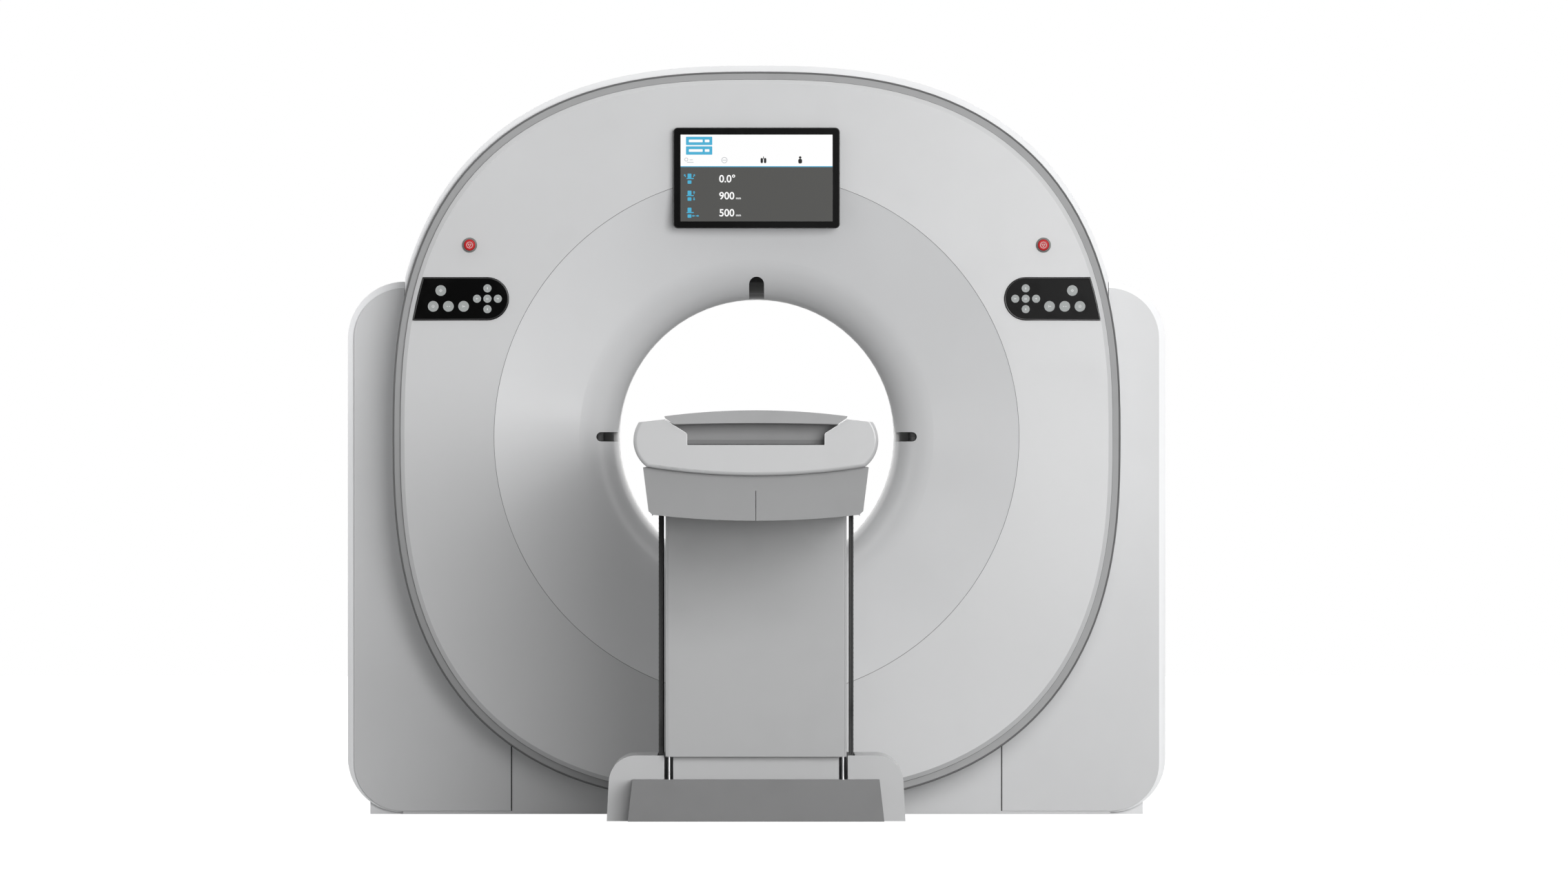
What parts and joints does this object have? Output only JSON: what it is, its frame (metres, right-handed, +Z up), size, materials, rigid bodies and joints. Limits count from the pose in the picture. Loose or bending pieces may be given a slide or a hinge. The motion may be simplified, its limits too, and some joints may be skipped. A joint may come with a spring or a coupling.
{
  "type": "ct scanner",
  "caption": "Whole-body X-ray tomography scanner: a tilting ring gantry with a funnel-shaped tunnel, key panels and a display, and a lifting table with a sliding cradle.",
  "frame": {"origin": "on the floor directly under the isocentre, which is also the centre of the gantry stand's four anchor holes", "axes": "+X to the right of someone standing at the table's foot end, +Y from the table through the tunnel, +Z up"},
  "size_m": [2.08, 3.385, 1.903],
  "materials": {
    "cover_paint": "satin",
    "stand_paint": "satin",
    "trim_grey": "satin",
    "frame_paint": "satin",
    "machined_steel": "satin",
    "cast_frame": "matte",
    "window_film": "satin",
    "display_black": "gloss",
    "display_glass": "gloss",
    "panel_black": "gloss",
    "laser_dark": "gloss",
    "rotor_metal": "satin",
    "component_paint": "satin",
    "slip_ring_resin": "satin",
    "key_grey": "satin",
    "stop_red": "gloss",
    "table_white": "satin",
    "column_paint": "satin",
    "skirt_black": "satin",
    "foot_grey": "satin",
    "chrome_rod": "polished",
    "support_alloy": "satin",
    "carbon_board": "satin",
    "pad_cover": "matte",
    "grip_grey": "satin"
  },
  "bodies": {
    "root": {"gantry_stand": "frame_paint", "side_covers": "cover_paint", "wing_plates": "stand_paint", "base_covers": "stand_paint", "tilt_drive": "machined_steel", "table_base_frame": "frame_paint", "hump_cover": "table_white", "foot_box": "foot_grey", "lift_guides": "chrome_rod"},
    "gantry": {"tilt_frame": "cast_frame", "outer_shell": "cover_paint", "front_cover": "cover_paint", "trim_bands": "trim_grey", "front_funnel": "cover_paint", "scan_window": "window_film", "rear_cover": "cover_paint", "display_housing": "display_black", "display_screen": "display_glass", "control_bezels": "panel_black", "laser_windows": "laser_dark", "bearing_and_stator": "machined_steel", "brush_block": "panel_black"},
    "rotor": {"rotor_drum": "rotor_metal", "xray_tube": "component_paint", "detector_arc": "component_paint", "hv_generator": "component_paint", "balance_weights": "component_paint", "slip_ring": "slip_ring_resin"},
    "table_mid": {"column_panels": "column_paint", "column_skirts": "skirt_black", "column_frame": "machined_steel"},
    "table_top": {"support_frame": "support_alloy", "housing_halves": "table_white", "end_cap": "table_white", "side_rails": "table_white", "cradle_drive": "support_alloy", "lift_rods": "chrome_rod"},
    "cradle": {"cradle": "carbon_board", "mattress": "pad_cover", "cradle_grip": "grip_grey"},
    "key_left_1": {"key_left_1": "key_grey"},
    "key_left_2": {"key_left_2": "key_grey"},
    "key_left_3": {"key_left_3": "key_grey"},
    "key_left_4": {"key_left_4": "key_grey"},
    "key_left_5": {"key_left_5": "key_grey"},
    "key_left_6": {"key_left_6": "key_grey"},
    "key_left_7": {"key_left_7": "key_grey"},
    "key_left_8": {"key_left_8": "key_grey"},
    "key_left_9": {"key_left_9": "key_grey"},
    "key_right_1": {"key_right_1": "key_grey"},
    "key_right_2": {"key_right_2": "key_grey"},
    "key_right_3": {"key_right_3": "key_grey"},
    "key_right_4": {"key_right_4": "key_grey"},
    "key_right_5": {"key_right_5": "key_grey"},
    "key_right_6": {"key_right_6": "key_grey"},
    "key_right_7": {"key_right_7": "key_grey"},
    "key_right_8": {"key_right_8": "key_grey"},
    "key_right_9": {"key_right_9": "key_grey"},
    "estop_left": {"estop_left": "stop_red"},
    "estop_right": {"estop_right": "stop_red"}
  },
  "joints": [
    {"name": "gantry_tilt", "type": "hinge", "parent": "root", "child": "gantry", "pos_m": [0, 0, 0.96], "axis": [1, 0, 0], "range_deg": [-10, 10]},
    {"name": "rotor_spin", "type": "hinge", "parent": "gantry", "child": "rotor", "pos_m": [0, 0, 0.96], "axis": [0, 1, 0], "continuous": true},
    {"name": "table_lift", "type": "slide", "parent": "root", "child": "table_top", "axis": [0, 0, 1], "range_m": [-0.29, 0.03]},
    {"name": "column_lift", "type": "slide", "parent": "root", "child": "table_mid", "axis": [0, 0, 1], "range_m": [-0.145, 0.015]},
    {"name": "cradle_slide", "type": "slide", "parent": "table_top", "child": "cradle", "axis": [0, 1, 0], "range_m": [0, 1.6]},
    {"name": "key_left_1_press", "type": "slide", "parent": "gantry", "child": "key_left_1", "axis": [0, 1, 0], "range_m": [0, 0.0015], "stiffness_N_per_m": 500, "springref_m": -0.001},
    {"name": "key_left_2_press", "type": "slide", "parent": "gantry", "child": "key_left_2", "axis": [0, 1, 0], "range_m": [0, 0.0015], "stiffness_N_per_m": 500, "springref_m": -0.001},
    {"name": "key_left_3_press", "type": "slide", "parent": "gantry", "child": "key_left_3", "axis": [0, 1, 0], "range_m": [0, 0.0015], "stiffness_N_per_m": 500, "springref_m": -0.001},
    {"name": "key_left_4_press", "type": "slide", "parent": "gantry", "child": "key_left_4", "axis": [0, 1, 0], "range_m": [0, 0.0015], "stiffness_N_per_m": 500, "springref_m": -0.001},
    {"name": "key_left_5_press", "type": "slide", "parent": "gantry", "child": "key_left_5", "axis": [0, 1, 0], "range_m": [0, 0.0015], "stiffness_N_per_m": 500, "springref_m": -0.001},
    {"name": "key_left_6_press", "type": "slide", "parent": "gantry", "child": "key_left_6", "axis": [0, 1, 0], "range_m": [0, 0.0015], "stiffness_N_per_m": 500, "springref_m": -0.001},
    {"name": "key_left_7_press", "type": "slide", "parent": "gantry", "child": "key_left_7", "axis": [0, 1, 0], "range_m": [0, 0.0015], "stiffness_N_per_m": 500, "springref_m": -0.001},
    {"name": "key_left_8_press", "type": "slide", "parent": "gantry", "child": "key_left_8", "axis": [0, 1, 0], "range_m": [0, 0.0015], "stiffness_N_per_m": 500, "springref_m": -0.001},
    {"name": "key_left_9_press", "type": "slide", "parent": "gantry", "child": "key_left_9", "axis": [0, 1, 0], "range_m": [0, 0.0015], "stiffness_N_per_m": 500, "springref_m": -0.001},
    {"name": "key_right_1_press", "type": "slide", "parent": "gantry", "child": "key_right_1", "axis": [0, 1, 0], "range_m": [0, 0.0015], "stiffness_N_per_m": 500, "springref_m": -0.001},
    {"name": "key_right_2_press", "type": "slide", "parent": "gantry", "child": "key_right_2", "axis": [0, 1, 0], "range_m": [0, 0.0015], "stiffness_N_per_m": 500, "springref_m": -0.001},
    {"name": "key_right_3_press", "type": "slide", "parent": "gantry", "child": "key_right_3", "axis": [0, 1, 0], "range_m": [0, 0.0015], "stiffness_N_per_m": 500, "springref_m": -0.001},
    {"name": "key_right_4_press", "type": "slide", "parent": "gantry", "child": "key_right_4", "axis": [0, 1, 0], "range_m": [0, 0.0015], "stiffness_N_per_m": 500, "springref_m": -0.001},
    {"name": "key_right_5_press", "type": "slide", "parent": "gantry", "child": "key_right_5", "axis": [0, 1, 0], "range_m": [0, 0.0015], "stiffness_N_per_m": 500, "springref_m": -0.001},
    {"name": "key_right_6_press", "type": "slide", "parent": "gantry", "child": "key_right_6", "axis": [0, 1, 0], "range_m": [0, 0.0015], "stiffness_N_per_m": 500, "springref_m": -0.001},
    {"name": "key_right_7_press", "type": "slide", "parent": "gantry", "child": "key_right_7", "axis": [0, 1, 0], "range_m": [0, 0.0015], "stiffness_N_per_m": 500, "springref_m": -0.001},
    {"name": "key_right_8_press", "type": "slide", "parent": "gantry", "child": "key_right_8", "axis": [0, 1, 0], "range_m": [0, 0.0015], "stiffness_N_per_m": 500, "springref_m": -0.001},
    {"name": "key_right_9_press", "type": "slide", "parent": "gantry", "child": "key_right_9", "axis": [0, 1, 0], "range_m": [0, 0.0015], "stiffness_N_per_m": 500, "springref_m": -0.001},
    {"name": "estop_left_press", "type": "slide", "parent": "gantry", "child": "estop_left", "axis": [0, 1, 0], "range_m": [0, 0.004], "stiffness_N_per_m": 800, "springref_m": -0.002},
    {"name": "estop_right_press", "type": "slide", "parent": "gantry", "child": "estop_right", "axis": [0, 1, 0], "range_m": [0, 0.004], "stiffness_N_per_m": 800, "springref_m": -0.002}
  ],
  "couplings": [
    {"joint": "column_lift", "follows": "table_lift", "ratio": 0.5}
  ]
}
